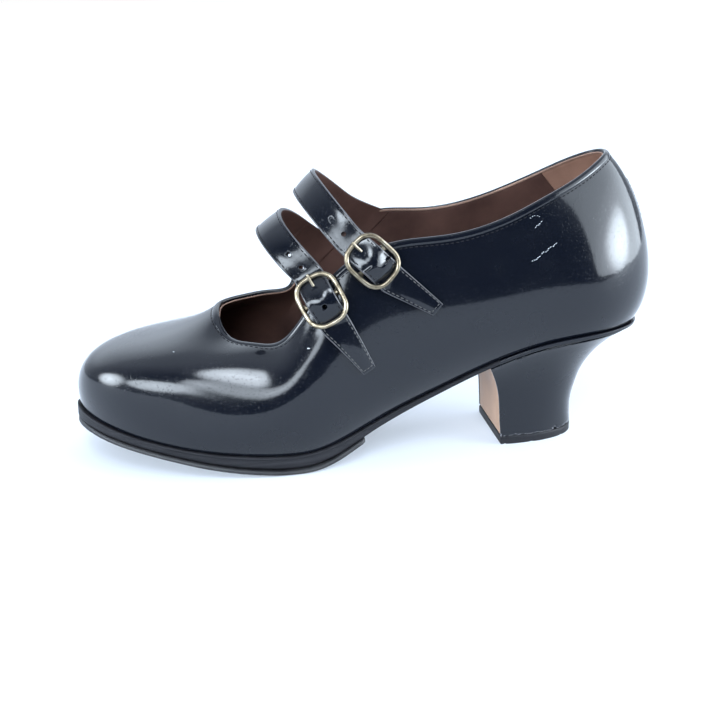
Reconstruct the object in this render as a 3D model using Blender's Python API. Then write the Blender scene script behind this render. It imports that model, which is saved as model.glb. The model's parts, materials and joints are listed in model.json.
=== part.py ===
"""A left flamenco shoe: lasted patent upper, leather and rubber soles, curved heel, two buckled straps.

Units are metres. +X points from the heel to the toe, +Y to the wearer's left, which is the outer
side of this shoe, and +Z up. The shoe is drawn from the back of its counter and then centred.
"""

from collections import namedtuple
from math import cos, pi, sin

import bmesh
import bpy
import numpy as np
from mathutils import Vector
from mathutils.bvhtree import BVHTree

# Driving dimensions
LENGTH = 0.240            # back of the counter to the toe
BALL_WIDTH = 0.076        # across the ball, at the edge where upper and sole meet
HEEL_HEIGHT = 0.0492      # floor to the seat, at the back
COLLAR_RISE = 0.0708      # seat to the top of the collar
WALL = 0.002              # patent leather and lining together
GAP = 0.0003              # between pieces that touch

# Sole and heel
INSOLE_THICKNESS = 0.0022
SOLE_STAND = 0.0012       # how far the sole stands out past the feather line
RUBBER_THICKNESS = 0.0020
RUBBER_INSET = 0.0008     # the rubber lies this far inside the sole's edge
RIM_STEP = 0.0006         # the sole's top rim stands this far past its side
RIM_THICKNESS = 0.14      # share of the sole's thickness
RUBBER_END = 0.1265       # where the rubber stops, from the counter's back
TIP_THICKNESS = 0.0034
TIP_BACK = 0.0320         # counter's back to the back of the heel tip
TIP_LENGTH = 0.0348
TIP_WIDTH = 0.0400
SEAT_FRONT = 0.0735       # counter's back to the breast, at the seat
SEAT_BACK = 0.0088        # counter's back to the back of the heel block, at the seat
HEEL_INSET = 0.0006       # the block lies this far inside the feather line at the seat
BREAST_THICKNESS = 0.0010
HEEL_ROUNDNESS = 2.3      # power of the tip's rounded plan
POCKET_PROUD = 4.0        # the pocket's cutter runs this many gaps out of the breast
BREAST_BORDER = 0.0015    # black edge left on each side of the breast's facing

# Straps and buckles
STRAP_WIDTH = 0.0120
STRAP_THICKNESS = 0.0018
TAIL_END_WIDTH = 0.0058
TAIL_LENGTH = 0.0330
TUCK_DEPTH = 0.0100       # how far a strap runs down inside the inner quarter
HOLE_DIAMETER = 0.0024
HOLE_PITCH = 0.0070
HOLE_FIRST = 0.0150       # bar to the first free hole
BUCKLE_LENGTH = 0.0218    # along the strap
WIRE_DIAMETER = 0.0021
BUCKLE_SIDE_PLAY = 0.0011 # between the strap's edge and the frame
BUCKLE_CORNER = 0.0062    # radius of the frame's corners, at the wire's middle
BAR_DIAMETER = 0.0018
PRONG_DIAMETER = 0.0012
PRONG_OVERHANG = 0.0013   # its tip reaches this far past the middle of the frame's wire
CURL_THICKNESS = 0.0008
CURL_WIDTH = 0.0016
LOOP_THICKNESS = 0.0009
LOOP_WIDTH = 0.0104
FREE_HOLES = 2
PRONG_CROSSING = 0.0040   # bar to where the prong comes up through the strap
ENTRY_MARGIN = 0.0006     # the strap runs flat this far past the frame
SEAT_LIFT = 0.0003        # a buckle lies this far over the skin, which swells under it
LOOP_TAPER = 0.45
LOOP_DROP = 0.0008
LOOP_REACH = 0.0046       # bar to the end of the loop's stitched legs

# How finely the curved solids are cut
STEPS_PER_ROW = 3
STEPS_UP = 13
SOLE_STATIONS = 40
HEEL_HALF_TURNS = 14
TUCK_STEPS = 3
ARCH_STEPS = 16
BUCKLE_STEPS = 16
TAIL_STEPS = 6
WIRE_SIDES = 8
FRAME_CORNER_STEPS = 5
CURL_STEPS = 12
LOOP_STEPS = 20
HOLE_SIDES = 10
STEP_FOR_SLOPE = 0.0001
PLAN_STEPS_PER_ROW = 12   # readings of the feather line for the soles' outlines
SHARP_ANGLE = 0.7         # faces that meet at more than this, in radians, are shaded with an edge
NEARLY_UPRIGHT = 0.9      # a rod whose direction rises more than this takes X as its side guide
BAR_HOLE_DEPTH = 0.75     # share of the strap's thickness, from its middle to the end of that cutter
END_SHARE = 0.0004        # the soles' rounded ends stop this share of their length short of a point

# The middle of the whole shoe, from the counter's back and the foot's line
CENTRE_X = 0.1203
CENTRE_Y = 0.0015

# The line where upper and sole meet, seen from the side: share of the length, share of the heel's height
FEATHER_HEIGHTS = (
    (-0.05, 1.002), (0.03, 1.000), (0.09, 0.990), (0.16, 0.966), (0.22, 0.918), (0.275, 0.836),
    (0.325, 0.742), (0.39, 0.596), (0.46, 0.455), (0.52, 0.330), (0.57, 0.228), (0.605, 0.181),
    (0.65, 0.169), (0.70, 0.180), (0.76, 0.206), (0.82, 0.240), (0.88, 0.285), (0.93, 0.336),
    (0.965, 0.378), (1.0, 0.425), (1.05, 0.50),
)

# Thickness of the leather sole: share of the length, metres
SOLE_THICKNESS = (
    (-0.05, 0.0014), (0.03, 0.0014), (0.10, 0.0020), (0.30, 0.0021), (0.40, 0.0025), (0.46, 0.0032),
    (0.525, 0.0040), (0.57, 0.0054), (0.62, 0.0060), (0.70, 0.0056), (0.78, 0.0047), (0.84, 0.0039),
    (0.90, 0.0038), (0.96, 0.0043), (1.05, 0.0046),
)

# One row for each section of the upper, from the back of the heel round the outer side, the toe and
# the inner side. foot_ and top_ are the section's ends: x as a share of LENGTH, y of BALL_WIDTH, rise
# of COLLAR_RISE above the feather line. The handles shape the section between them: out, away from the
# foot, as a share of BALL_WIDTH and up as a share of COLLAR_RISE, from the foot, then from the top.
Row = namedtuple("Row", "foot_x foot_y top_x top_y rise low_out low_up mid_out mid_up high_out high_up")
ROWS = [
    Row(0.029, 0.000, 0.092, 0.000, 1.003, 0.130, 0.127, 0.347, -0.565, 0.158, -0.113),
    Row(0.046, 0.171, 0.106, 0.105, 0.986, 0.100, 0.141, 0.262, -0.537, 0.110, -0.127),
    Row(0.104, 0.296, 0.156, 0.212, 0.910, 0.072, 0.155, 0.210, -0.508, 0.066, -0.141),
    Row(0.188, 0.335, 0.229, 0.294, 0.846, 0.066, 0.169, 0.138, -0.480, 0.046, -0.155),
    Row(0.313, 0.336, 0.333, 0.349, 0.840, 0.092, 0.169, 0.125, -0.466, 0.040, -0.169),
    Row(0.438, 0.342, 0.450, 0.386, 0.976, 0.118, 0.169, 0.118, -0.452, 0.033, -0.169),
    Row(0.542, 0.414, 0.528, 0.405, 1.027, 0.092, 0.155, 0.118, -0.424, 0.033, -0.141),
    Row(0.625, 0.487, 0.594, 0.397, 0.935, 0.072, 0.127, 0.190, -0.395, 0.066, -0.127),
    Row(0.708, 0.507, 0.652, 0.342, 0.646, 0.066, 0.127, 0.276, -0.222, 0.118, -0.058),
    Row(0.792, 0.480, 0.700, 0.285, 0.590, 0.066, 0.155, 0.266, -0.090, 0.132, -0.018),
    Row(0.867, 0.401, 0.738, 0.212, 0.586, 0.066, 0.198, 0.350, -0.030, 0.160, -0.022),
    Row(0.928, 0.296, 0.755, 0.138, 0.652, 0.062, 0.235, 0.470, -0.066, 0.194, -0.128),
    Row(0.976, 0.145, 0.759, 0.066, 0.698, 0.056, 0.255, 0.600, -0.086, 0.256, -0.206),
    Row(0.997, -0.034, 0.755, -0.020, 0.716, 0.053, 0.260, 0.718, -0.098, 0.293, -0.243),
    Row(0.980, -0.195, 0.744, -0.074, 0.726, 0.056, 0.255, 0.634, -0.126, 0.260, -0.240),
    Row(0.937, -0.332, 0.724, -0.128, 0.733, 0.060, 0.226, 0.518, -0.146, 0.213, -0.206),
    Row(0.867, -0.441, 0.694, -0.198, 0.736, 0.063, 0.198, 0.412, -0.167, 0.178, -0.145),
    Row(0.792, -0.490, 0.659, -0.272, 0.732, 0.059, 0.184, 0.272, -0.193, 0.118, -0.105),
    Row(0.717, -0.487, 0.624, -0.334, 0.734, 0.053, 0.169, 0.172, -0.240, 0.079, -0.098),
    Row(0.646, -0.436, 0.612, -0.368, 0.850, 0.053, 0.169, 0.110, -0.339, 0.040, -0.113),
    Row(0.575, -0.368, 0.581, -0.388, 0.985, 0.053, 0.198, 0.079, -0.452, 0.026, -0.155),
    Row(0.508, -0.309, 0.529, -0.395, 1.010, 0.079, 0.184, 0.072, -0.480, 0.026, -0.169),
    Row(0.417, -0.270, 0.450, -0.388, 0.966, 0.105, 0.169, 0.079, -0.480, 0.026, -0.169),
    Row(0.313, -0.283, 0.342, -0.350, 0.820, 0.105, 0.169, 0.105, -0.466, 0.040, -0.169),
    Row(0.196, -0.322, 0.231, -0.292, 0.815, 0.079, 0.169, 0.138, -0.480, 0.046, -0.155),
    Row(0.104, -0.296, 0.158, -0.205, 0.905, 0.072, 0.155, 0.210, -0.508, 0.066, -0.141),
    Row(0.046, -0.171, 0.108, -0.105, 0.980, 0.100, 0.141, 0.262, -0.537, 0.110, -0.127),
]

# The heel block, a row for each height as a share of the way up to the seat: where its back and its
# breast stand, 0 at the tip's and 1 at the seat's, its half width as a share of TIP_WIDTH, and how
# far its plan has turned from the tip's rounded one to the seat's
Level = namedtuple("Level", "height back front half_width seat_share")
HEEL_LEVELS = [
    Level(0.00, 0.00, 0.00, 0.490, 0.0),
    Level(0.12, -0.02, 0.05, 0.476, 0.0),
    Level(0.28, -0.01, 0.10, 0.470, 0.05),
    Level(0.42, 0.06, 0.14, 0.474, 0.15),
    Level(0.56, 0.13, 0.24, 0.490, 0.30),
    Level(0.68, 0.25, 0.40, 0.516, 0.45),
    Level(0.79, 0.41, 0.58, 0.548, 0.62),
    Level(0.88, 0.60, 0.76, 0.582, 0.78),
    Level(0.95, 0.80, 0.90, 0.612, 0.90),
    Level(1.00, 1.00, 1.00, 0.640, 1.0),
]

# Each strap: its buckle's seat on the outer side and the end of its tail, as shares of LENGTH,
# BALL_WIDTH and COLLAR_RISE, the row that it grows from on the inner side, and how far its arch sets
# out from that root and from the buckle: forward, inward and up, as shares of COLLAR_RISE. turn is
# the angle in radians between the buckle and its tail.
Strap = namedtuple("Strap", "seat tail root_row root_way buckle_way turn")
STRAPS = {
    "front": Strap((0.598, 0.434, 0.863), (0.527, 0.500, 0.400), 19.85,
                   (0.255, 0.165, 0.283), (0.36, 0.09, 0.37), 0.06),
    "back": Strap((0.5175, 0.434, 0.972), (0.405, 0.434, 0.514), 21.35,
                  (0.43, 0.18, 0.38), (0.315, 0.15, 0.395), 0.10),
}


def clear_scene():
    for old in list(bpy.data.objects):
        bpy.data.objects.remove(old, do_unlink=True)


def material(name, colour, roughness, metallic=0.0):
    """A plain Principled material."""
    new = bpy.data.materials.new(name)
    new.use_nodes = True
    shader = new.node_tree.nodes["Principled BSDF"]
    shader.inputs["Base Color"].default_value = (*colour, 1.0)
    shader.inputs["Roughness"].default_value = roughness
    shader.inputs["Metallic"].default_value = metallic
    return new


# Curves through the tables

def from_table(table, share):
    """A smooth reading of a two-column table, by Catmull-Rom pieces."""
    keys = [row[0] for row in table]
    values = [row[1] for row in table]
    slopes = np.gradient(values, keys)
    i = int(np.clip(np.searchsorted(keys, share) - 1, 0, len(keys) - 2))
    span = keys[i + 1] - keys[i]
    f = (share - keys[i]) / span
    rise = values[i + 1] - values[i]
    a = slopes[i] * span - rise
    b = rise - slopes[i + 1] * span
    return values[i] + f * rise + f * (1 - f) * ((1 - f) * a + f * b)


def feather_z(x):
    """Height of the line where upper and sole meet."""
    return HEEL_HEIGHT * from_table(FEATHER_HEIGHTS, x / LENGTH)


def sole_bottom(x):
    """Underside of the leather sole."""
    return feather_z(x) - GAP - from_table(SOLE_THICKNESS, x / LENGTH)


def rubber_bottom(x):
    """Underside of the rubber, worn flat where it meets the floor."""
    return max(sole_bottom(x) - GAP - RUBBER_THICKNESS, 0.0)


def loop_spline(rows, steps):
    """Rows read as a closed smooth curve: a periodic cubic spline, steps readings for each row."""
    rows = np.array(rows, float)
    n = len(rows)
    system = 4 * np.eye(n) + np.roll(np.eye(n), 1, 0) + np.roll(np.eye(n), -1, 0)
    slopes = np.linalg.solve(system, 3 * (np.roll(rows, -1, 0) - np.roll(rows, 1, 0)))
    return [spline_point(rows, slopes, k / steps) for k in range(n * steps)]


def spline_point(rows, slopes, at):
    i = int(at) % len(rows)
    j = (i + 1) % len(rows)
    f = at - int(at)
    return (rows[i] * (1 + 2 * f) * (1 - f) ** 2 + slopes[i] * f * (1 - f) ** 2
            + rows[j] * f * f * (3 - 2 * f) + slopes[j] * f * f * (f - 1))


def ring_tangents(points):
    points = np.array(points)
    ahead = np.roll(points, -1, 0) - np.roll(points, 1, 0)
    return ahead / np.linalg.norm(ahead, axis=1)[:, None]


def quartic(points, t):
    """A Bezier curve of five points."""
    weights = ((1 - t) ** 4, 4 * t * (1 - t) ** 3, 6 * t * t * (1 - t) ** 2, 4 * t ** 3 * (1 - t), t ** 4)
    return sum(w * p for w, p in zip(weights, points))


def cubic(points, t):
    """A Bezier curve of four points."""
    weights = ((1 - t) ** 3, 3 * t * (1 - t) ** 2, 3 * t * t * (1 - t), t ** 3)
    return sum(w * p for w, p in zip(weights, points))


# The last: the outer skin of the upper

def last_sections(steps):
    """The sections of the upper all round, each as the five points of its curve."""
    rows = loop_spline(ROWS, steps)
    feet = np.array([(row[0] * LENGTH, row[1] * BALL_WIDTH, 0.0) for row in rows])
    along = ring_tangents(feet)
    sections = []
    for row, foot, way in zip(rows, feet, along):
        row = Row(*row)
        out = np.array((-way[1], way[0], 0.0))
        foot = foot + (0, 0, feather_z(foot[0]))
        top_x = row.top_x * LENGTH
        top = np.array((top_x, row.top_y * BALL_WIDTH, feather_z(top_x) + row.rise * COLLAR_RISE))
        up = np.array((0, 0, COLLAR_RISE))
        low = foot + out * row.low_out * BALL_WIDTH + up * row.low_up
        mid = top + out * row.mid_out * BALL_WIDTH + up * row.mid_up
        high = top + out * row.high_out * BALL_WIDTH + up * row.high_up
        sections.append((foot, low, mid, high, top))
    return sections


def skin_grid(steps=STEPS_PER_ROW):
    """Points of the outer skin: a column for each section, from the feather line to the topline."""
    shares = [i / STEPS_UP for i in range(STEPS_UP + 1)]
    return np.array([[quartic(section, t) for t in shares] for section in last_sections(steps)])


def grid_normals(grid):
    around = np.roll(grid, -1, 0) - np.roll(grid, 1, 0)
    upward = np.gradient(grid, axis=1)
    normals = np.cross(upward, around)
    return normals / np.linalg.norm(normals, axis=2)[:, :, None]


def inner_grid(grid):
    """The lining's face: the skin moved in by the wall, and level with it along the feather line."""
    normals = grid_normals(grid)
    inner = grid - normals * WALL
    flat = normals[:, 0] * (1, 1, 0)
    inner[:, 0] = grid[:, 0] - WALL * flat / np.linalg.norm(flat, axis=1)[:, None]
    inner[:, 0, 2] = [feather_z(x) for x in inner[:, 0, 0]]
    return inner


def grid_tree(grid):
    """A grid of points as a surface that can be asked for its nearest point."""
    columns, rows = grid.shape[:2]
    faces = []
    for i in range(columns):
        j = (i + 1) % columns
        for k in range(rows - 1):
            faces.append((i * rows + k, i * rows + k + 1, j * rows + k + 1, j * rows + k))
    return BVHTree.FromPolygons([Vector(p) for p in grid.reshape(-1, 3)], faces)


# Making solids

def add_solid(name, bm, look):
    """Closes up, turns outward and shades a finished bmesh, and gives it its object."""
    bmesh.ops.recalc_face_normals(bm, faces=bm.faces[:])
    mesh = bpy.data.meshes.new(name)
    bm.to_mesh(mesh)
    bm.free()
    mesh.materials.append(look)
    mesh.shade_smooth()
    mesh.set_sharp_from_angle(angle=SHARP_ANGLE)
    obj = bpy.data.objects.new(name, mesh)
    bpy.context.scene.collection.objects.link(obj)
    obj.parent = bpy.data.objects["shoe_middle"]
    return obj


def add_rings(bm, rings, closed_run=False):
    """Bridges rings of points into a tube, which closes on itself or is capped at both ends."""
    made = [[bm.verts.new(p) for p in ring] for ring in rings]
    pairs = list(zip(made, made[1:]))
    if closed_run:
        pairs.append((made[-1], made[0]))
    else:
        bm.faces.new(made[0][::-1])
        bm.faces.new(made[-1])
    for a, b in pairs:
        n = len(a)
        for i in range(n):
            j = (i + 1) % n
            bm.faces.new((a[i], a[j], b[j], b[i]))


def cut(target, tool, operation="DIFFERENCE"):
    """A Boolean that is left live on the target; the tool is a guide and not a piece."""
    tool.display_type = "WIRE"
    tool.hide_render = True
    boolean = target.modifiers.new(tool.name, "BOOLEAN")
    boolean.operation = operation
    boolean.object = tool


def tube_rings(path, radius, sides, up=(0, 0, 1)):
    """Rings of a round bar along a path."""
    rings = []
    for i, point in enumerate(path):
        ahead = Vector(path[min(i + 1, len(path) - 1)]) - Vector(path[max(i - 1, 0)])
        side = ahead.cross(Vector(up)).normalized()
        top = side.cross(ahead).normalized()
        turns = [2 * pi * k / sides for k in range(sides)]
        rings.append([Vector(point) + radius * (cos(a) * side + sin(a) * top) for a in turns])
    return rings


# Upper, insole and soles

def make_upper(look):
    outer = skin_grid()
    inner = inner_grid(outer)
    rings = [list(skin) + list(lining)[::-1] for skin, lining in zip(outer, inner)]
    bm = bmesh.new()
    add_rings(bm, rings, closed_run=True)
    return add_solid("upper", bm, look)


class Plan:
    """The feather line seen from above, moved out by a margin, as two sides that can be read at any x."""

    def __init__(self, margin=0.0):
        ring = np.array([section[0][:2] for section in last_sections(PLAN_STEPS_PER_ROW)])
        along = ring_tangents(ring)
        ring = ring + margin * np.stack((-along[:, 1], along[:, 0]), 1)
        ring = np.roll(ring, -int(np.argmin(ring[:, 0])), 0)
        toe = int(np.argmax(ring[:, 0]))
        self.back = ring[0, 0]
        self.toe = ring[toe, 0]
        self.left = ring[:toe + 1]
        self.right = np.vstack((ring[toe:], ring[:1]))[::-1]

    def sides(self, x):
        """y of the outer and of the inner side."""
        left = np.interp(x, self.left[:, 0], self.left[:, 1])
        right = np.interp(x, self.right[:, 0], self.right[:, 1])
        return left, right


def sole_slab(name, plan, top, bottom, look, start=None, edge=((0.0, 0.0), (1.0, 0.0))):
    """A slab with the plan's outline between two heights.

    start squares it off at an x instead of rounding the heel. edge shapes its side: share of the way
    down, and how far the side is drawn in there.
    """
    rings = []
    for i in range(SOLE_STATIONS + 1):
        turn = i / SOLE_STATIONS
        if start is None:
            x = plan.back + max(END_SHARE, (1 - cos(pi * turn)) / 2) * (plan.toe - plan.back)
        else:
            x = start + sin(pi * turn / 2) * (plan.toe - start)
        x = min(x, plan.toe - END_SHARE * (plan.toe - plan.back))
        left, right = plan.sides(x)
        drawn = [(down, min(draw_in, (left - right) / 4)) for down, draw_in in edge]
        levels = [top(x) + down * (bottom(x) - top(x)) for down, draw_in in edge]
        ring = [(x, left - draw_in, z) for (down, draw_in), z in zip(drawn, levels)]
        ring += [(x, right + draw_in, z) for (down, draw_in), z in zip(drawn, levels)][::-1]
        rings.append(ring)
    bm = bmesh.new()
    add_rings(bm, rings)
    return add_solid(name, bm, look)


# Heel

def heel_outline(level, plan):
    """The block's plan at one level: round at the back, straight across the breast."""
    back = TIP_BACK + level.back * (SEAT_BACK - TIP_BACK)
    front = TIP_BACK + TIP_LENGTH + level.front * (SEAT_FRONT - TIP_BACK - TIP_LENGTH)
    seat_half = plan.sides(SEAT_FRONT)[0]
    outline = []
    for k in range(HEEL_HALF_TURNS + 1):
        share = sin(pi / 2 * k / HEEL_HALF_TURNS) ** 2
        round_half = (1 - (1 - share) ** HEEL_ROUNDNESS) ** (1 / HEEL_ROUNDNESS)
        seat_x = SEAT_BACK + share * (SEAT_FRONT - SEAT_BACK)
        own_half = round_half + level.seat_share * (plan.sides(seat_x)[0] / seat_half - round_half)
        outline.append((back + share * (front - back), own_half * level.half_width * TIP_WIDTH))
    return outline


def seat_level(x):
    """Top of the heel block: the underside of the sole, a gap below."""
    return sole_bottom(x) - GAP


def heel_rings():
    plan = Plan(-HEEL_INSET)
    rings = []
    for level in HEEL_LEVELS:
        half = heel_outline(level, plan)
        floor = TIP_THICKNESS + GAP
        ring = [(x, y, floor + level.height * (seat_level(x) - floor)) for x, y in half]
        ring += [(x, -y, floor + level.height * (seat_level(x) - floor)) for x, y in half[:0:-1]]
        rings.append(ring)
    return rings


def make_heel(look):
    """The block, with a shallow pocket in its breast for the facing."""
    bm = bmesh.new()
    add_rings(bm, heel_rings())
    block = add_solid("heel", bm, look)
    cut(block, make_pocket(look))
    return block


def facing_rings(margin):
    """Sections of the breast's facing, or of its pocket: inside the block's front edges, by a border."""
    rings = []
    for ring in heel_rings():
        x, y, z = ring[HEEL_HALF_TURNS]
        half = y - BREAST_BORDER + margin
        face = x + margin * POCKET_PROUD
        deep = x - BREAST_THICKNESS - margin
        rings.append(np.array([(face, half, z), (face, -half, z), (deep, -half, z), (deep, half, z)]))
    return rings


def make_facing(look):
    """It stops a little short of the tip and of the sole."""
    rings = facing_rings(0.0)
    for end, inner in ((0, 1), (-1, -2)):
        height = abs(rings[inner][0, 2] - rings[end][0, 2])
        rings[end] = rings[end] + (rings[inner] - rings[end]) * GAP / height
    bm = bmesh.new()
    add_rings(bm, rings)
    return add_solid("heel_breast", bm, look)


def make_pocket(look):
    """The cutter for the facing's pocket runs out past the block at both ends."""
    rings = facing_rings(GAP)
    beyond = np.array((0.0, 0.0, GAP * POCKET_PROUD))
    bm = bmesh.new()
    add_rings(bm, [rings[0] - beyond] + rings + [rings[-1] + beyond])
    return add_solid("breast_pocket", bm, look)


def make_heel_tip(look):
    outline = heel_outline(HEEL_LEVELS[0], Plan(-HEEL_INSET))
    whole = outline + [(x, -y) for x, y in outline[:0:-1]]
    bm = bmesh.new()
    add_rings(bm, [[(x, y, z) for x, y in whole] for z in (0.0, TIP_THICKNESS)])
    return add_solid("heel_tip", bm, look)


# Straps

def along_surface(tree, guide, lift):
    """The point that lies over the surface's nearest point, lifted along its normal."""
    found, normal, _, _ = tree.find_nearest(Vector(guide))
    return np.array(found + normal * lift), np.array(normal)


def table_point(shares):
    """A guide point of the strap table."""
    x = shares[0] * LENGTH
    return np.array((x, shares[1] * BALL_WIDTH, feather_z(x) + shares[2] * COLLAR_RISE))


def unit(v):
    return v / np.linalg.norm(v)


class BuckleSeat:
    """Where a buckle lies: its middle on the upper's skin, along the strap, across it and outward."""

    def __init__(self, strap, tree):
        foot, _ = along_surface(tree, table_point(strap.seat), 0.0)
        tail, _ = along_surface(tree, table_point(strap.tail), 0.0)
        chord = unit(tail - foot)
        self.tail_end = foot + chord * TAIL_LENGTH
        _, self.out = along_surface(tree, foot + chord * BUCKLE_LENGTH / 4, 0.0)
        straight = unit(chord - self.out * np.dot(chord, self.out))
        self.along = straight * cos(strap.turn) + np.cross(self.out, straight) * -sin(strap.turn)
        self.point = foot + self.out * SEAT_LIFT
        self.across = np.cross(self.out, self.along)

    def place(self, along, across, out):
        return self.point + self.along * along + self.across * across + self.out * out


def bar_height():
    """Middle of the buckle's bar over the upper: it clears the loop's lower leg."""
    return GAP + LOOP_THICKNESS + GAP + BAR_DIAMETER / 2


def strap_over_bar():
    """Middle of the strap over the upper where it crosses the bar."""
    return bar_height() + BAR_DIAMETER / 2 + GAP + LOOP_THICKNESS + GAP + STRAP_THICKNESS / 2


def strap_height(along):
    """Middle of the strap over the upper: flat under the frame's sides, domed over the bar."""
    flat = GAP + STRAP_THICKNESS / 2
    reach = BUCKLE_LENGTH / 2 - WIRE_DIAMETER
    share = min(abs(along) / reach, 1.0)
    return flat + (strap_over_bar() - flat) * (1 + cos(pi * share)) / 2


def wire_height():
    """Middle of the frame's wire: its sides lie on the flat of the strap."""
    return GAP + STRAP_THICKNESS + GAP + WIRE_DIAMETER / 2


def strap_stations(strap, seat, skin_tree, lining_tree, lining):
    """Sections of a strap from its tucked root to its tail: five middle points and their normals."""
    shares_across = (-1.0, -0.5, 0.0, 0.5, 1.0)
    half = STRAP_WIDTH / 2
    lift = GAP + STRAP_THICKNESS / 2
    stations = []

    column = strap.root_row * STEPS_PER_ROW
    low, f = int(column), column - int(column)
    high = (low + 1) % len(lining)
    root = (1 - f) * lining[low, -1] + f * lining[high, -1]
    root_way = np.array(strap.root_way) * COLLAR_RISE
    _, wall = along_surface(lining_tree, root - unit(root_way) * GAP, 0.0)
    rise = unit(root_way - wall * np.dot(root_way, wall))
    ahead = np.cross(wall, rise)
    for step in range(TUCK_STEPS):
        guide = root - rise * TUCK_DEPTH * (1 - step / TUCK_STEPS)
        stations.append([along_surface(lining_tree, guide + ahead * s * half, -lift) for s in shares_across])

    start = root - wall * lift
    frame_side = BUCKLE_LENGTH / 2 + ENTRY_MARGIN
    end = seat.place(-frame_side, 0, strap_height(frame_side))
    forward, inward, up = np.array(strap.buckle_way) * COLLAR_RISE
    arch = (start, start + root_way, end + (forward, -inward, up), end)
    half_step = 0.5 / ARCH_STEPS
    for step in range(1, ARCH_STEPS):
        share = step / ARCH_STEPS
        point = cubic(arch, share)
        way = unit(cubic(arch, share + half_step) - cubic(arch, share - half_step))
        wide = ahead * (1 - share) + seat.across * share
        wide = unit(wide - way * np.dot(wide, way))
        normal = np.cross(way, wide)
        stations.append([(point + wide * s * half, normal) for s in shares_across])

    for step in range(BUCKLE_STEPS + 1):
        along = -frame_side + step / BUCKLE_STEPS * (frame_side * 2)
        nearby = along + STEP_FOR_SLOPE
        slope = (strap_height(nearby) - strap_height(along)) / STEP_FOR_SLOPE
        normal = unit(seat.out - seat.along * slope)
        row = []
        for s in shares_across:
            flat = seat.place(along, s * half, strap_height(along))
            laid, skin_normal = along_surface(skin_tree, flat, strap_height(along))
            ease = min(max((along - LOOP_REACH) / (frame_side - LOOP_REACH), 0.0), 1.0)
            row.append((flat + (laid - flat) * ease, unit(normal + (skin_normal - normal) * ease)))
        stations.append(row)

    for step in range(1, TAIL_STEPS + 1):
        share = step / TAIL_STEPS
        middle = seat.place(frame_side, 0, 0) * (1 - share) + seat.tail_end * share
        narrow = half + (TAIL_END_WIDTH / 2 - half) * share
        guides = [middle + seat.across * s * narrow for s in shares_across]
        stations.append([along_surface(skin_tree, guide, lift) for guide in guides])
    return stations


def make_strap(name, strap, seat, trees, lining, look):
    half = STRAP_THICKNESS / 2
    rings = []
    for row in strap_stations(strap, seat, *trees, lining):
        ring = [point + normal * half for point, normal in row]
        ring += [point - normal * half for point, normal in row[::-1]]
        rings.append(ring)
    bm = bmesh.new()
    add_rings(bm, rings)
    made = add_solid(name, bm, look)
    cut(made, make_hole_cutters(name, strap, seat, rings, look))
    return made


def make_hole_cutters(name, strap, seat, rings, look):
    """Round cutters for the strap's holes: the prong's, one over the bar and the free ones."""
    bm = bmesh.new()
    inside = [sum(ring[7:8] + ring[2:3]) / 2 for ring in rings]
    first = TUCK_STEPS + ARCH_STEPS - 1
    for k in range(FREE_HOLES):
        want = HOLE_FIRST + k * HOLE_PITCH - BUCKLE_LENGTH / 2 - ENTRY_MARGIN
        i = first
        while want > 0:
            want -= np.linalg.norm(inside[i] - inside[i - 1])
            i -= 1
        through = unit(rings[i][2] - rings[i][7])
        middle = inside[i] + unit(inside[i + 1] - inside[i]) * -want
        add_rod(bm, middle - through * STRAP_THICKNESS, middle + through * STRAP_THICKNESS,
                HOLE_DIAMETER / 2, HOLE_SIDES)
    over = HOLE_PITCH - PRONG_CROSSING
    slope = (strap_height(over + STEP_FOR_SLOPE) - strap_height(over)) / STEP_FOR_SLOPE
    middle = seat.place(over, 0, strap_height(over))
    through = unit(seat.out - seat.along * slope)
    add_rod(bm, middle - through * STRAP_THICKNESS * BAR_HOLE_DEPTH, middle + through * STRAP_THICKNESS,
            HOLE_DIAMETER / 2, HOLE_SIDES)
    low, high = prong_line()
    add_rod(bm, seat.place(low[0], 0, low[1]), seat.place(high[0], 0, high[1]),
            HOLE_DIAMETER / 2, HOLE_SIDES)
    return add_solid(name + "_holes", bm, look)


def add_rod(bm, start, end, radius, sides):
    """A straight round bar with flat ends."""
    up = (0, 0, 1) if abs(unit(end - start)[2]) < NEARLY_UPRIGHT else (1, 0, 0)
    add_rings(bm, tube_rings([start, end], radius, sides, up))


# Buckles

def prong_line():
    """The straight run of the prong, as (along, out): from its curl up through the strap's hole."""
    start = (-BAR_DIAMETER, bar_height() + GAP)
    top = wire_height() + WIRE_DIAMETER / 2 + GAP + PRONG_DIAMETER / 2
    end = (-(BUCKLE_LENGTH - WIRE_DIAMETER) / 2, top)
    return start, end


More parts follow.
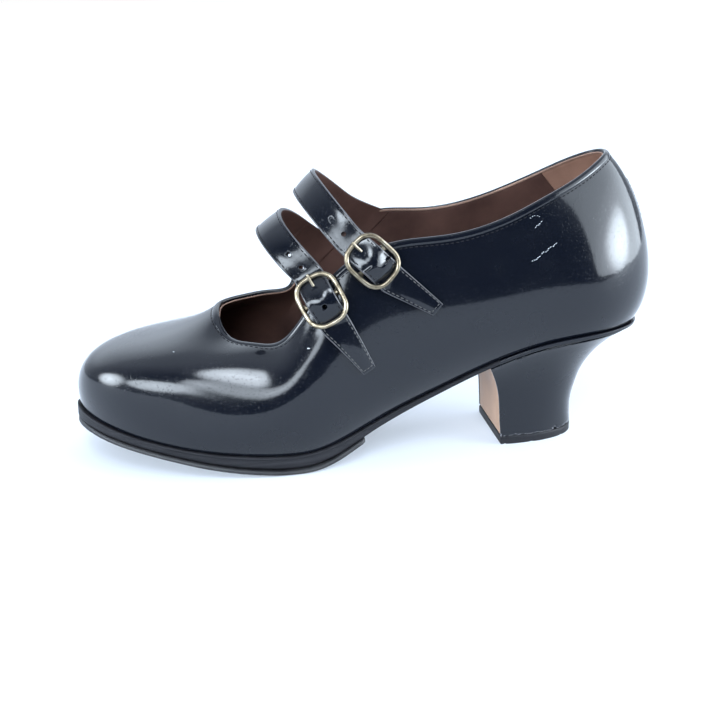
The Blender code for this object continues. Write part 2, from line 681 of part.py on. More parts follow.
def make_frame(name, seat, look):
    """A rounded square of wire, its two long sides joined by the bar."""
    long_half = (BUCKLE_LENGTH - WIRE_DIAMETER) / 2
    wide_half = STRAP_WIDTH / 2 + BUCKLE_SIDE_PLAY + WIRE_DIAMETER / 2
    corner = BUCKLE_CORNER
    path = []
    for quarter in range(4):
        turn = quarter * pi / 2
        side = ((1, 1), (-1, 1), (-1, -1), (1, -1))[quarter]
        centre = (side[0] * (long_half - corner), side[1] * (wide_half - corner))
        for k in range(FRAME_CORNER_STEPS + 1):
            angle = turn + pi / 2 * k / FRAME_CORNER_STEPS
            path.append((centre[0] + corner * cos(angle), centre[1] + corner * sin(angle)))
    rings = []
    count = len(path)
    for i, (along, across) in enumerate(path):
        before = np.array(path[i - 1])
        after = np.array(path[(i + 1) % count])
        way = unit(after - before)
        ring = []
        for k in range(WIRE_SIDES):
            angle = 2 * pi * k / WIRE_SIDES
            out = WIRE_DIAMETER / 2 * cos(angle)
            up = WIRE_DIAMETER / 2 * sin(angle)
            ring.append(seat.place(along + way[1] * out, across - way[0] * out, wire_height() + up))
        rings.append(ring)
    bm = bmesh.new()
    add_rings(bm, rings, closed_run=True)
    frame = add_solid(name, bm, look)
    bar = bmesh.new()
    add_rod(bar, seat.place(0, -wide_half, bar_height()), seat.place(0, wide_half, bar_height()),
            BAR_DIAMETER / 2, WIRE_SIDES)
    cut(frame, add_solid(name + "_bar", bar, look), "UNION")
    return frame


def make_prong(name, seat, look):
    """A curl round the bar with a straight run that lies on the frame."""
    inner = BAR_DIAMETER / 2 + GAP
    outer = inner + CURL_THICKNESS
    bm = bmesh.new()
    rings = []
    for k in range(CURL_STEPS):
        angle = 2 * pi * k / CURL_STEPS
        corners = ((inner, -1), (outer, -1), (outer, 1), (inner, 1))
        rings.append([seat.place(r * cos(angle), side * CURL_WIDTH / 2, bar_height() + r * sin(angle))
                      for r, side in corners])
    add_rings(bm, rings, closed_run=True)
    prong = add_solid(name, bm, look)
    (start_along, start_out), (end_along, end_out) = prong_line()
    path = [seat.place(start_along, 0, start_out), seat.place(end_along, 0, end_out),
            seat.place(end_along - PRONG_OVERHANG, 0, end_out)]
    run = bmesh.new()
    add_rings(run, tube_rings(path, PRONG_DIAMETER / 2, WIRE_SIDES, tuple(seat.across)))
    cut(prong, add_solid(name + "_run", run, look), "UNION")
    return prong


def make_loop(name, seat, look):
    """A leather loop folded round the bar, its legs stitched together on the upper."""
    inner = BAR_DIAMETER / 2 + GAP
    outer = inner + LOOP_THICKNESS
    height = bar_height()
    bar_ring = []
    skin_ring = []
    for k in range(LOOP_STEPS):
        angle = 2 * pi * k / LOOP_STEPS
        bar_ring.append((inner * cos(angle), height + inner * sin(angle)))
        along, out = outer * cos(angle), outer * sin(angle)
        if along > 0:
            stretch = along / outer * (LOOP_REACH - outer)
            out = out * (1 - LOOP_TAPER * along / outer) - LOOP_DROP * along / outer
            along = along + stretch
        skin_ring.append((along, height + out))
    rings = [[seat.place(a, side * LOOP_WIDTH / 2, o) for a, o in ring]
             for ring, side in ((bar_ring, -1), (skin_ring, -1), (skin_ring, 1), (bar_ring, 1))]
    bm = bmesh.new()
    add_rings(bm, rings, closed_run=True)
    loop = add_solid(name, bm, look)
    slot = bmesh.new()
    reach = outer + GAP * 2
    half = CURL_WIDTH / 2 + GAP
    box = [(-reach, -reach), (reach, -reach), (reach, reach), (-reach, reach)]
    add_rings(slot, [[seat.place(a, side * half, height + o) for a, o in box] for side in (-1, 1)])
    cut(loop, add_solid(name + "_slot", slot, look))
    return loop


def main():
    clear_scene()
    middle = bpy.data.objects.new("shoe_middle", None)
    middle.location = (-CENTRE_X, -CENTRE_Y, 0)
    bpy.context.scene.collection.objects.link(middle)
    patent = material("patent", (0.012, 0.011, 0.012), 0.08)
    leather = material("sole_leather", (0.02, 0.018, 0.017), 0.45)
    rubber = material("rubber", (0.015, 0.015, 0.016), 0.6)
    brass = material("antique_brass", (0.42, 0.36, 0.26), 0.35, metallic=1.0)
    tan = material("tan_leather", (0.42, 0.22, 0.11), 0.55)
    board = material("insole_leather", (0.20, 0.10, 0.05), 0.5)
    make_upper(patent)
    sole_slab("insole", Plan(-WALL - GAP), lambda x: feather_z(x) + INSOLE_THICKNESS, feather_z, board)
    rim = ((0.0, 0.0), (RIM_THICKNESS, 0.0), (RIM_THICKNESS, RIM_STEP), (1.0, RIM_STEP))
    sole_slab("outsole", Plan(SOLE_STAND), lambda x: feather_z(x) - GAP, sole_bottom, leather, edge=rim)
    sole_slab("half_sole", Plan(SOLE_STAND - RUBBER_INSET), lambda x: sole_bottom(x) - GAP,
              rubber_bottom, rubber, start=RUBBER_END)
    make_heel(patent)
    make_facing(tan)
    make_heel_tip(rubber)
    skin = skin_grid()
    lining = inner_grid(skin)
    trees = (grid_tree(skin), grid_tree(lining))
    for place, strap in STRAPS.items():
        seat = BuckleSeat(strap, trees[0])
        make_strap("strap_" + place, strap, seat, trees, lining, patent)
        make_frame("buckle_frame_" + place, seat, brass)
        make_prong("buckle_prong_" + place, seat, brass)
        make_loop("buckle_loop_" + place, seat, patent)


main()
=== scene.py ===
# %% [markdown]
# # A black patent flamenco shoe
# A shoemaker pulls patent leather over a last, folds its top edge, stitches it, and sets it on a
# leather sole with a covered heel. Here the solids are already made and packed. This lesson dresses
# them: smooth skins, bindings, thread, straps, buckles, and finishes that shine or stay matt as the
# real ones do.

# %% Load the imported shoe
import random

import json
from math import cos, pi, radians, sin, tan

import bmesh
import bpy
import numpy as np
from mathutils import Matrix, Vector
from mathutils.bvhtree import BVHTree

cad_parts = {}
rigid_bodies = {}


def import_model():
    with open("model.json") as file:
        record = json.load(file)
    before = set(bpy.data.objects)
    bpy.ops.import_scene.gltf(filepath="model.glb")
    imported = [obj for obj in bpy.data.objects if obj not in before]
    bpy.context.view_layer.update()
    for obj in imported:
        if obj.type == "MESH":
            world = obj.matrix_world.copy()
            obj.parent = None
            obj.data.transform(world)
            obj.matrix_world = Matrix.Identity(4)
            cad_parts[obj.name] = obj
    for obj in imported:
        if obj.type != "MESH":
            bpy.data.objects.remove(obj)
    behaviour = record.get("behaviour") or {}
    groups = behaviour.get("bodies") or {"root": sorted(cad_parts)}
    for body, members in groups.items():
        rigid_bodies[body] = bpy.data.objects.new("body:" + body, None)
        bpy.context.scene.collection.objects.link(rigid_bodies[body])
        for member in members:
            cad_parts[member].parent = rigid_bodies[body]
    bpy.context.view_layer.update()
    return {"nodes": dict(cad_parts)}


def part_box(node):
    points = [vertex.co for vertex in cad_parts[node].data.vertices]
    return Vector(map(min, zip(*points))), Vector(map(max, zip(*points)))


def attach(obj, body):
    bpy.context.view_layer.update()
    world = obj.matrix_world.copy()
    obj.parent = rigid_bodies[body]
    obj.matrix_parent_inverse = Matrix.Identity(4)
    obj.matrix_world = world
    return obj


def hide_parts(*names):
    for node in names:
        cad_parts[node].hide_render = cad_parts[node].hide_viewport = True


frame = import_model()
nodes = frame["nodes"]
MM = 0.001
print("nodes:", ", ".join(sorted(nodes)))

# %% [markdown]
# The camera comes first, because every finish is judged through it. The photograph was taken from
# about 0.6 m, a little above the shoe and a little behind its middle. A lens of 72 mm gives the same
# perspective, so the near heel and the far ear keep their places. The Standard view keeps white paper
# white, as the photograph has it.

# %% Camera
camera_data = bpy.data.cameras.new("camera")
camera_data.lens = 71.7
camera = bpy.data.objects.new("camera", camera_data)
bpy.context.scene.collection.objects.link(camera)
camera.location = (0.09178, 0.55924, 0.22794)
look_at = Vector((0.00305, -0.0015, 0.03376))
camera.rotation_euler = (look_at - camera.location).to_track_quat("-Z", "Y").to_euler()
bpy.context.scene.camera = camera
bpy.context.scene.view_settings.view_transform = "Standard"
print("camera stands", round((camera.location - look_at).length, 3), "m away")

# %% [markdown]
# ## Helpers for shaping
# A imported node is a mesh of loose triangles. To work on it, a copy is welded and its triangles are
# joined back into the four-sided faces that it was drawn with, because a Subdivision Surface only
# flows evenly over those.

# %% Copy a node as clean quads
def quads_of(name):
    bm = bmesh.new()
    bm.from_mesh(nodes[name].data)
    bmesh.ops.remove_doubles(bm, verts=bm.verts, dist=0.002 * MM)
    bmesh.ops.join_triangles(bm, faces=bm.faces[:], angle_face_threshold=radians(180),
                             angle_shape_threshold=radians(180), topology_influence=3.0)
    for face in bm.faces:
        face.smooth = True
    bm.normal_update()
    return bm


def sharp(edge, degrees=40):
    return len(edge.link_faces) == 2 and edge.calc_face_angle() > radians(degrees)


def regions(bm, degrees=40):
    """Groups of faces that join without a sharp edge between them, the largest group first."""
    left = set(bm.faces)
    groups = []
    while left:
        todo = [left.pop()]
        group = set(todo)
        while todo:
            for edge in todo.pop().edges:
                for face in edge.link_faces:
                    if face in left and not sharp(edge, degrees):
                        left.discard(face)
                        group.add(face)
                        todo.append(face)
        groups.append(group)
    return sorted(groups, key=len, reverse=True)


upper_bm = quads_of("upper")
groups = regions(upper_bm)
print("upper:", len(upper_bm.faces), "faces in groups of", [len(group) for group in groups[:5]])

# %% [markdown]
# Every finished piece gets its object in the same way: the mesh, its materials, the body it rides
# on, and the node that it stands for.

# %% Hand a mesh over as a piece
def piece(name, bm, looks, replaces=(), smooth=True):
    mesh = bpy.data.meshes.new(name)
    if smooth:
        for face in bm.faces:
            face.smooth = True
    bm.to_mesh(mesh)
    bm.free()
    for look in looks:
        mesh.materials.append(look)
    made = bpy.data.objects.new(name, mesh)
    bpy.context.scene.collection.objects.link(made)
    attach(made, "root")
    if replaces:
        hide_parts(*replaces)
    print(name, len(mesh.polygons), "faces")
    return made


def subdivide(made, levels):
    """A Subdivision Surface that shows the same in the view and in the render."""
    flow = made.modifiers.new("flow", "SUBSURF")
    flow.levels = levels
    flow.render_levels = levels
    return flow


def shown_mesh(made):
    """The mesh of a piece with its modifiers in place."""
    return bpy.data.meshes.new_from_object(made.evaluated_get(bpy.context.evaluated_depsgraph_get()))


def surface_of(made):
    """A tree that answers where the nearest point of a piece lies."""
    bm = bmesh.new()
    bm.from_mesh(shown_mesh(made))
    tree = BVHTree.FromBMesh(bm)
    bm.free()
    return tree


# %% [markdown]
# Bindings, straps and welts are all one profile drawn along a path. A frame, which is a matrix of
# the path's direction, the profile's two axes and its place, says how the profile sits at each
# station. Extruding the profile's edges and moving them from one frame to the next makes the skin.

# %% Sweep a profile along frames
def frame_at(point, along, u, v):
    """A matrix whose axes are the path's direction, the profile's u and v, and the place."""
    m = Matrix.Identity(4)
    for column, axis in enumerate((along, u, v, point)):
        for row in range(3):
            m[row][column] = axis[row]
    return m


def sweep(profile, frames, closed=False, looks=None):
    """The profile's points are (u, v). looks, where given, holds a material for each of its sides."""
    bm = bmesh.new()
    verts = [bm.verts.new(frames[0] @ Vector((0, u, v))) for u, v in profile]
    first = [bm.edges.new((a, b)) for a, b in zip(verts, verts[1:] + verts[:1])]
    edges = first
    for before, after in zip(frames, frames[1:]):
        made = bmesh.ops.extrude_edge_only(bm, edges=edges)["geom"]
        bmesh.ops.transform(bm, matrix=after @ before.inverted(),
                            verts=[item for item in made if isinstance(item, bmesh.types.BMVert)])
        fresh = {item for item in made if isinstance(item, bmesh.types.BMFace)}
        ahead = []
        for side, edge in enumerate(edges):
            face = next(f for f in edge.link_faces if f in fresh)
            if looks:
                face.material_index = looks[side]
            ahead.append(next(e for e in face.edges if not set(e.verts) & set(edge.verts)))
        edges = ahead
    if closed:
        bmesh.ops.bridge_loops(bm, edges=first + edges)
    else:
        bmesh.ops.holes_fill(bm, edges=bm.edges[:], sides=len(profile))
    bmesh.ops.recalc_face_normals(bm, faces=bm.faces[:])
    return bm


def smooth_path(points, parts, closed):
    """Points read more finely, on Catmull-Rom pieces."""
    points = np.array(points)
    count = len(points)
    out = []
    for i in range(count if closed else count - 1):
        keys = [points[k % count] if closed else points[min(max(k, 0), count - 1)]
                for k in range(i - 1, i + 3)]
        for f in np.arange(parts) / parts:
            a, b, c, d = keys
            out.append(0.5 * (2 * b + (c - a) * f + (2 * a - 5 * b + 4 * c - d) * f * f
                              + (3 * b - a - 3 * c + d) * f ** 3))
    if not closed:
        out.append(points[-1])
    return np.array(out)


def every(points, pitch, closed):
    """Places a pitch apart along a path, with the direction of the path there."""
    points = np.vstack((points, points[:1])) if closed else np.array(points)
    steps = np.linalg.norm(np.diff(points, axis=0), axis=1)
    run = np.concatenate(([0], np.cumsum(steps)))
    count = max(int(round(run[-1] / pitch)), 1)
    found = []
    for k in range(count):
        at = (k + 0.5) * run[-1] / count
        i = min(int(np.searchsorted(run, at)) - 1, len(steps) - 1)
        way = points[i + 1] - points[i]
        found.append((Vector(points[i] + way * (at - run[i]) / steps[i]), Vector(way).normalized()))
    return found


print("helpers ready")

# %% [markdown]
# ## Finishes
# Patent leather is leather under a thick clear film. The film gives the mirror, so it is the
# shader's coat, almost perfectly smooth. The leather under it is black, softer and faintly uneven,
# and that gives the misty edge round each bright reflection. A low, wide bump lets the mirror wander
# as it does over real hide, and a finer one gives the pinpricks of dust under the film.

# %% Node helpers and patent leather
def new_look(name, colour, roughness, metallic=0.0):
    look = bpy.data.materials.new(name)
    look.use_nodes = True
    shader = look.node_tree.nodes["Principled BSDF"]
    shader.inputs["Base Color"].default_value = (*colour, 1)
    shader.inputs["Roughness"].default_value = roughness
    shader.inputs["Metallic"].default_value = metallic
    return look


def add_node(look, kind, **values):
    node = look.node_tree.nodes.new(kind)
    for key, value in values.items():
        if key in node.inputs:
            node.inputs[key].default_value = value
        else:
            setattr(node, key, value)
    return node


def join(look, source, target):
    look.node_tree.links.new(source, target)


def place_of(look):
    return add_node(look, "ShaderNodeTexCoord").outputs["Object"]


def noise(look, scale, detail=2.0, rough=0.5, stretch=None):
    """A noise of the given scale per metre on Object coordinates, which a Mapping node may stretch."""
    node = add_node(look, "ShaderNodeTexNoise", Scale=scale, Detail=detail, Roughness=rough)
    source = place_of(look)
    if stretch:
        mapping = add_node(look, "ShaderNodeMapping", Scale=stretch)
        join(look, source, mapping.inputs["Vector"])
        source = mapping.outputs["Vector"]
    join(look, source, node.inputs["Vector"])
    return node.outputs["Fac"]


def ramp(look, source, stops, ease="LINEAR"):
    node = add_node(look, "ShaderNodeValToRGB")
    node.color_ramp.interpolation = ease
    for stop in range(len(stops) - 2):
        node.color_ramp.elements.new(0.5)
    for element, (at, colour) in zip(node.color_ramp.elements, stops):
        element.position = at
        element.color = (*colour, 1) if isinstance(colour, tuple) else (colour, colour, colour, 1)
    join(look, source, node.inputs["Fac"])
    return node.outputs["Color"]


def bump(look, height, distance, strength=1.0, under=None):
    """Relief of a distance in metres; under is the relief below it."""
    node = add_node(look, "ShaderNodeBump", Distance=distance, Strength=strength)
    join(look, height, node.inputs["Height"])
    if under is not None:
        join(look, under, node.inputs["Normal"])
    return node.outputs["Normal"]


def shade(look, **sources):
    shader = look.node_tree.nodes["Principled BSDF"]
    for key, source in sources.items():
        join(look, source, shader.inputs[key.replace("_", " ")])


def set_coat(look, weight, roughness, tint_ior=1.5):
    shader = look.node_tree.nodes["Principled BSDF"]
    shader.inputs["Coat Weight"].default_value = weight
    shader.inputs["Coat Roughness"].default_value = roughness
    shader.inputs["Coat IOR"].default_value = tint_ior


def make_patent(name, waves=1.0):
    look = new_look(name, (0.003, 0.004, 0.007), 0.2)
    look.node_tree.nodes["Principled BSDF"].inputs["Specular IOR Level"].default_value = 0.1
    set_coat(look, 1.0, 0.08, 1.41)
    wide = bump(look, noise(look, 55, 1.0), 0.25 * MM, 0.35 * waves)
    fine = bump(look, noise(look, 420, 2.0), 0.03 * MM, 0.5 * waves, under=wide)
    dust = ramp(look, noise(look, 1500, 0.0), [(0.0, 0.0), (0.72, 0.0), (0.78, 1.0)])
    pricks = bump(look, dust, 0.03 * MM, 0.5, under=fine)
    shade(look, Normal=pricks, Coat_Normal=pricks)
    shade(look, Roughness=ramp(look, noise(look, 90, 4.0), [(0.3, 0.16), (0.7, 0.3)]))
    return look


patent = make_patent("patent_leather")
print("patent leather mixed")

# %% [markdown]
# The other finishes are quieter. The lining is thin brown kid, nearly matt, darker where a foot has
# rubbed it. The heel has the same black leather without so deep a film. The sole's edge is waxed
# leather, the forefoot is rubber, and the buckles are brass plate that has gone dull in its hollows.

# %% The quieter finishes
def mix(look, share, below, above):
    node = add_node(look, "ShaderNodeMix", data_type="RGBA")
    for source, key in ((share, 0), (below, 6), (above, 7)):
        if hasattr(source, "links"):
            join(look, source, node.inputs[key])
        else:
            node.inputs[key].default_value = (*source, 1)
    return node.outputs[2]


def across(look, direction):
    """How far a point lies along a direction, in metres."""
    node = add_node(look, "ShaderNodeVectorMath", operation="DOT_PRODUCT")
    join(look, place_of(look), node.inputs[0])
    node.inputs[1].default_value = direction
    return node.outputs["Value"]


def band_of(look, value, low, high):
    """A value turned into 0 below low and 1 above high."""
    node = add_node(look, "ShaderNodeMapRange", clamp=True)
    for key, number in (("From Min", low), ("From Max", high), ("To Min", 0.0), ("To Max", 1.0)):
        node.inputs[key].default_value = number
    join(look, value, node.inputs["Value"])
    return node.outputs["Result"]


def make_lining(name, dark, light, heel=None):
    look = new_look(name, light, 0.55)
    look.node_tree.nodes["Principled BSDF"].inputs["Specular IOR Level"].default_value = 0.22
    cloud = noise(look, 45, 5.0, 0.6)
    tone = ramp(look, cloud, [(0.3, dark), (0.68, light)])
    pores = bump(look, noise(look, 1900, 2.0), 0.06 * MM, 0.35)
    if heel:
        seam = across(look, HEEL_SEAM_WAY)
        heel_tone = ramp(look, cloud, [(0.3, heel[0]), (0.68, heel[1])])
        tone = mix(look, band_of(look, seam, HEEL_SEAM + 0.2 * MM, HEEL_SEAM), tone, heel_tone)
        lap = band_of(look, seam, HEEL_SEAM + 0.5 * MM, HEEL_SEAM)
        pores = bump(look, lap, 0.5 * MM, 0.8, under=pores)
    shade(look, Base_Color=tone)
    wrinkles = bump(look, noise(look, 260, 3.0, 0.5, (1, 1, 2.5)), 0.12 * MM, 0.3, under=pores)
    shade(look, Normal=wrinkles, Roughness=ramp(look, cloud, [(0.3, 0.42), (0.7, 0.62)]))
    return look


def make_rubber(name):
    look = new_look(name, (0.018, 0.018, 0.020), 0.5)
    chalk = noise(look, 160, 6.0, 0.65)
    shade(look, Base_Color=ramp(look, chalk, [(0.35, (0.008, 0.008, 0.010)), (0.72, (0.022, 0.022, 0.024))]),
          Roughness=ramp(look, chalk, [(0.3, 0.42), (0.7, 0.62)]),
          Normal=bump(look, noise(look, 2400, 2.0), 0.05 * MM, 0.5))
    return look


def make_waxed(name):
    """Leather edge, cut, sanded along its length and waxed black."""
    look = new_look(name, (0.014, 0.013, 0.014), 0.5)
    look.node_tree.nodes["Principled BSDF"].inputs["Specular IOR Level"].default_value = 0.22
    streaks = noise(look, 380, 5.0, 0.6, (0.12, 0.12, 3.0))
    shade(look, Base_Color=ramp(look, streaks, [(0.3, (0.006, 0.006, 0.008)), (0.75, (0.018, 0.018, 0.021))]),
          Roughness=ramp(look, streaks, [(0.3, 0.42), (0.7, 0.62)]),
          Normal=bump(look, streaks, 0.08 * MM, 0.35))
    return look


def make_brass(name):
    look = new_look(name, (0.42, 0.35, 0.24), 0.3, metallic=1.0)
    cloud = noise(look, 320, 5.0, 0.6)
    shade(look, Base_Color=ramp(look, cloud, [(0.28, (0.07, 0.055, 0.038)), (0.5, (0.28, 0.235, 0.165)),
                                              (0.72, (0.44, 0.39, 0.30))]),
          Roughness=ramp(look, cloud, [(0.3, 0.42), (0.7, 0.26)]),
          Normal=bump(look, noise(look, 900, 3.0), 0.03 * MM, 0.5))
    return look


HEEL_SEAM_WAY = (1.0, 0.0, -0.85)
HEEL_SEAM = -0.168

lining = make_lining("brown_lining", (0.036, 0.018, 0.015), (0.076, 0.038, 0.030),
                     heel=((0.16, 0.085, 0.062), (0.25, 0.138, 0.098)))
raw_edge = make_lining("lining_cut_edge", (0.17, 0.10, 0.075), (0.30, 0.19, 0.145))
sock = make_lining("insole_sock", (0.080, 0.042, 0.030), (0.14, 0.078, 0.056))
breast_tan = make_lining("breast_leather", (0.38, 0.235, 0.16), (0.50, 0.325, 0.23))
rubber = make_rubber("black_rubber")
waxed = make_waxed("waxed_sole_leather")
brass = make_brass("aged_brass")
heel_cover = make_patent("heel_cover_leather", 1.6)
set_coat(heel_cover, 0.8, 0.12, 1.45)
cut_edge = new_look("painted_leather_edge", (0.06, 0.06, 0.066), 0.36)
shade(cut_edge, Normal=bump(cut_edge, noise(cut_edge, 900, 4.0), 0.05 * MM, 0.5))
worn_cover = new_look("worn_heel_cover", (0.22, 0.22, 0.24), 0.6)
scuff_white = new_look("scuffed_lacquer", (0.62, 0.66, 0.70), 0.6)
thread = new_look("black_thread", (0.006, 0.006, 0.008), 0.7)
thread.node_tree.nodes["Principled BSDF"].inputs["Specular IOR Level"].default_value = 0.15
shade(thread, Normal=bump(thread, noise(thread, 3000, 1.0), 0.04 * MM, 0.6))
# The tail stitches' thread is the black thread painted grey: a painted highlight.
painted_highlight_thread = new_look("thread_with_painted_highlight", (0.055, 0.054, 0.053), 0.5)
shade(painted_highlight_thread, Normal=bump(painted_highlight_thread, noise(painted_highlight_thread, 3000, 1.0), 0.04 * MM, 0.6))
print("finishes:", len(bpy.data.materials))

# %% [markdown]
# ## The upper
# The upper is one shell of patent and lining. Its faces fall into four groups, parted by the sharp
# edges of its cut rim and of its foot: the outer skin, the lining, the rim and the foot. The skin and
# the rim are patent, which the maker folds over the edge, and the lining is brown. At the back, a
# lighter piece of leather lines the counter, where the heel rubs.

# %% Skin and lining
skin_faces, lining_faces, rim_a, rim_b = sorted(groups[:4], key=len, reverse=True)
if max(f.calc_center_median().y for f in skin_faces) < max(f.calc_center_median().y for f in lining_faces):
    skin_faces, lining_faces = lining_faces, skin_faces
high = max((rim_a, rim_b), key=lambda g: max(f.calc_center_median().z for f in g))
foot = rim_b if high is rim_a else rim_a
for face in lining_faces | foot:
    face.material_index = 1


def shared_line(group_a, group_b):
    """The vertices along which two groups of faces meet, in order round the shoe."""
    edges = {e for f in group_a for e in f.edges if any(g in group_b for g in e.link_faces)}
    edge = next(iter(edges))
    start, vert = edge.verts
    line = [start]
    while vert is not start:
        line.append(vert)
        edge = next(e for e in vert.link_edges if e in edges and e is not edge)
        vert = edge.other_vert(vert)
    return line


def skin_normal(vert, group):
    faces = [f for f in vert.link_faces if f in group]
    return sum((f.normal for f in faces), Vector()).normalized()


top_line = shared_line(skin_faces, high)
rim_places = [v.co.copy() for v in top_line]
rim_normals = [skin_normal(v, skin_faces) for v in top_line]
lining_line = shared_line(lining_faces, high)
lining_places = [v.co.copy() for v in lining_line]
lining_normals = [skin_normal(v, lining_faces) for v in lining_line]
foot_line = shared_line(skin_faces, foot)
foot_places = [v.co.copy() for v in foot_line]

crease = upper_bm.edges.layers.float.new("crease_edge")
for edge in upper_bm.edges:
    if sharp(edge) and any(f in foot for f in edge.link_faces):
        edge[crease] = 0.9
upper = piece("dressed_upper", upper_bm, (patent, lining), ("upper",))
subdivide(upper, 2)
skin_tree = surface_of(upper)
print("topline of", len(rim_places), "points")

# %% [markdown]
# The rim is where the eye goes first. The maker folds the patent over the cut edge, so the edge is a
# soft roll that catches the light, and a row of black stitches holds the fold about 3 mm below.
# The roll is a small rounded profile swept round the topline, and just inside it the lining's own
# cut edge shows as a pale line.

# %% Rolled edge and the lining's cut edge
def rim_frames(places, normals, reverse=False):
    """Frames round a topline: u runs down the skin and v out of it."""
    count = len(places)
    found = []
    for i in range(count):
        along = (places[(i + 1) % count] - places[i - 1]).normalized()
        out = (normals[i] - along * normals[i].dot(along)).normalized()
        down = along.cross(out)
        found.append(frame_at(places[i], along, down, out))
    back = max(range(count), key=lambda i: places[i].z)
    if found[back].col[1].z > 0:
        found = [frame_at(m.translation, -m.col[0].xyz, -m.col[1].xyz, m.col[2].xyz) for m in found]
    return found


top_frames = rim_frames(rim_places, rim_normals)
roll = [(2.75, -0.45), (2.72, 0.0), (2.3, 0.34), (1.4, 0.56), (0.5, 0.42), (-0.1, 0.0),
        (-0.22, -0.55), (-0.05, -1.15), (0.6, -1.1)]
roll = [(u * MM, v * MM) for u, v in roll]
rolled_edge = piece("rolled_edge", sweep(roll, top_frames, closed=True), (patent,))
subdivide(rolled_edge, 2)

lining_frames = rim_frames(lining_places, lining_normals)
cut = [(-0.12, -0.15), (0.0, 0.12), (0.6, 0.16), (0.85, 0.0), (0.7, -0.4), (0.0, -0.5)]
cut = [(u * MM, v * MM) for u, v in cut]
lining_edge = piece("lining_edge", sweep(cut, lining_frames, closed=True), (raw_edge,))
subdivide(lining_edge, 1)

# %% [markdown]
# A stitch is a short, round-ended piece of thread that sinks at both ends. One stitch is shaped once
# and laid hundreds of times, all in one mesh, because hundreds of objects would be slow to handle.

# %% Rows of stitches
stitch_bm = bmesh.new()
bmesh.ops.create_uvsphere(stitch_bm, u_segments=6, v_segments=5, radius=0.5)
bmesh.ops.rotate(stitch_bm, verts=stitch_bm.verts, matrix=Matrix.Rotation(pi / 2, 3, "Y"))
for face in stitch_bm.faces:
    face.smooth = True
one_stitch = bpy.data.meshes.new("one_stitch")
stitch_bm.to_mesh(one_stitch)
stitch_bm.free()


def lay_stitches(bm, row, length, thick):
    """row holds a place, a direction and an outward normal for each stitch."""
    for place, along, out in row:
        side = out.cross(along).normalized()
        seat = frame_at(place, along * length, side * thick, out * thick * 0.8)
        fresh = len(bm.verts)
        bm.from_mesh(one_stitch)
        bm.verts.ensure_lookup_table()
        bmesh.ops.transform(bm, matrix=seat, verts=bm.verts[fresh:])


def on_surface(guides, tree, sink):
    """Guides of place and direction, dropped on to a surface and sunk by a little."""
    row = []
    for place, along in guides:
        found, out, _, _ = tree.find_nearest(place)
        along = (along - out * along.dot(out)).normalized()
        row.append((found - out * sink, along, out))
    return row


def line_below(frames, down, parts=6):
    return smooth_path([m @ Vector((0, down, 0)) for m in frames], parts, True)


stitches = bmesh.new()
top_row = on_surface(every(line_below(top_frames, 3.3 * MM), 2.1 * MM, True), skin_tree, 0.02 * MM)
lay_stitches(stitches, top_row, 1.6 * MM, 0.5 * MM)
print("topline stitches:", len(top_row))
# two rows hold the back seam, from the collar down
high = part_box("upper")[1][2]
for row_y in (-2.6, 2.6):
    guides = [(Vector((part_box("upper")[0][0] - 2 * MM, row_y * MM, high - drop * MM)), Vector((0, 0, -1)))
              for drop in np.arange(4.4, 26.0, 2.0)]
    lay_stitches(stitches, on_surface(guides, skin_tree, 0.0), 1.5 * MM, 0.6 * MM)
piece("topline_stitches", stitches, (thread,))

# %% [markdown]
# The patent is scuffed on the outer side, behind the straps: two strokes where the other shoe has
# brushed it, and three nicks. Each is a row of tiny pale flecks along its stroke, pressed into the
# lacquer, with a little scatter so that it breaks up as a real scratch does.

# %% Scuffs
SCUFFS = {"long_stroke": ((-61, 27, 81), (-72, 25, 88), 14, 0.5), "upper_nick": ((-61, 23, 98), (-65, 23, 98.6), 5, 0.35),
          "slanting_nick": ((-63, 24, 94), (-66, 23, 96.2), 5, 0.45), "vamp_speck": ((28.6, 35, 52), (29.3, 35, 52), 2, 0.7),
          "front_speck": ((80.7, 21, 49), (81.3, 21, 49), 2, 0.35)}
chance = random.Random(7)
flecks = bmesh.new()
for start, end, count, size in SCUFFS.values():
    start, end = Vector(start) * MM, Vector(end) * MM
    along = (end - start).normalized()
    guides = []
    for step in range(count):
        stray = Vector([chance.uniform(-0.35, 0.35) * MM for axis in range(3)])
        guides.append((start.lerp(end, (step + 0.5) / count) + stray, along))
    lay_stitches(flecks, on_surface(guides, skin_tree, 0.0), 1.5 * size * MM, 0.45 * size * MM)
piece("scuffs", flecks, (scuff_white,))
print(len(SCUFFS), "scuffs laid")

# %% [markdown]
# ## Straps
# Each strap is a band of patent on a brown lining, 12 mm wide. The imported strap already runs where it
# should, so its four long edges are read from its solid: they give the middle, width and thickness
# at every station. A rounded profile drawn along them gives the folded edges that a plain cut strip
# lacks. Sorting by the angle round the foot puts the stations in order, from the inner side over the
# instep to the tail.

